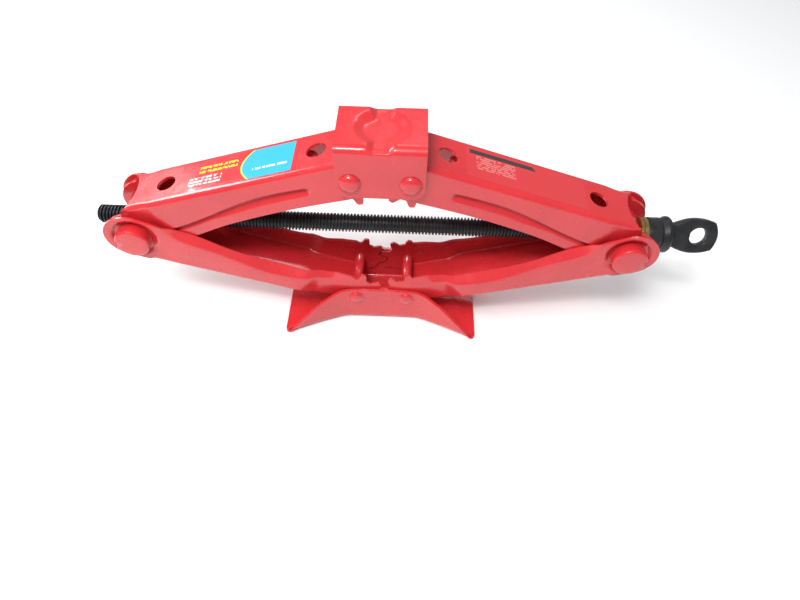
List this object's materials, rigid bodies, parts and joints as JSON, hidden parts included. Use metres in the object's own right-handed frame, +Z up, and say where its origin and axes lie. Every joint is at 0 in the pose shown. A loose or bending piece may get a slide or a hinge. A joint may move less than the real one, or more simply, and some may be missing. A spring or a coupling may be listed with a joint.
{
  "type": "scissor jack",
  "caption": "Folding scissor jack of pressed steel arms on a flared base, with a geared saddle head, a lead screw through two trunnions and a flat drive eye.",
  "frame": {"origin": "centre of the base plate's underside", "axes": "+X along the screw towards the drive eye, -Y to the front, +Z up"},
  "size_m": [0.4617, 0.086, 0.1735],
  "materials": {
    "red_paint": "glossy red enamel over pressed steel",
    "black_steel": "satin black oxide, lightly oiled",
    "bearing_steel": "polished bearing steel",
    "brass": "turned brass",
    "label_film": "printed glossy film, no lettering"
  },
  "bodies": {
    "base": {"base_plate": "red_paint", "base_pin_left": "red_paint", "base_pin_right": "red_paint"},
    "lower_left_link": {"lower_arm_left": "red_paint"},
    "lower_right_link": {"lower_arm_right": "red_paint"},
    "upper_left_link": {"upper_arm_left": "red_paint", "web_label_left": "label_film"},
    "upper_right_link": {"upper_arm_right": "red_paint", "web_label_right": "label_film"},
    "saddle_head": {"saddle": "red_paint", "saddle_pin_left": "red_paint", "saddle_pin_right": "red_paint"},
    "nut_block": {"nut_trunnion": "red_paint"},
    "bearing_block": {"bearing_trunnion": "red_paint", "thrust_washer_inner": "brass"},
    "screw": {"lead_screw": "black_steel", "thrust_balls": "bearing_steel", "thrust_washer_outer": "brass", "thrust_collar": "black_steel", "drive_eye": "black_steel"}
  },
  "joints": [
    {"name": "jack_fold", "type": "hinge", "parent": "base", "child": "lower_left_link", "pos_m": [-0.02, 0, 0.027], "axis": [0, 1, 0], "range_deg": [-11.4, 46]},
    {"name": "lower_right_fold", "type": "hinge", "parent": "base", "child": "lower_right_link", "pos_m": [0.02, 0, 0.027], "axis": [0, 1, 0], "range_deg": [-46.6, 12]},
    {"name": "upper_left_fold", "type": "hinge", "parent": "lower_left_link", "child": "upper_left_link", "pos_m": [-0.17934, 0, 0.08626], "axis": [0, 1, 0], "range_deg": [-92.6, 23.4]},
    {"name": "upper_right_fold", "type": "hinge", "parent": "lower_right_link", "child": "upper_right_link", "pos_m": [0.17934, 0, 0.08626], "axis": [0, 1, 0], "range_deg": [-23.4, 92.6]},
    {"name": "saddle_level", "type": "hinge", "parent": "upper_left_link", "child": "saddle_head", "pos_m": [-0.02, 0, 0.14551], "axis": [0, 1, 0], "range_deg": [-12, 46.6]},
    {"name": "nut_level", "type": "hinge", "parent": "lower_left_link", "child": "nut_block", "pos_m": [-0.17934, 0, 0.08626], "axis": [0, 1, 0], "range_deg": [-46.6, 12]},
    {"name": "bearing_level", "type": "hinge", "parent": "lower_right_link", "child": "bearing_block", "pos_m": [0.17934, 0, 0.08626], "axis": [0, 1, 0], "range_deg": [-12, 46.6]},
    {"name": "screw_turn", "type": "hinge", "parent": "bearing_block", "child": "screw", "pos_m": [0.17934, 0, 0.08626], "axis": [1, 0, 0], "continuous": true}
  ],
  "couplings": [
    {"joint": "lower_right_fold", "follows": "jack_fold", "ratio": -1},
    {"joint": "upper_left_fold", "follows": "jack_fold", "ratio": -2},
    {"joint": "upper_right_fold", "follows": "jack_fold", "ratio": 2},
    {"joint": "saddle_level", "follows": "jack_fold", "ratio": 1},
    {"joint": "nut_level", "follows": "jack_fold", "ratio": -1},
    {"joint": "bearing_level", "follows": "jack_fold", "ratio": 1}
  ]
}
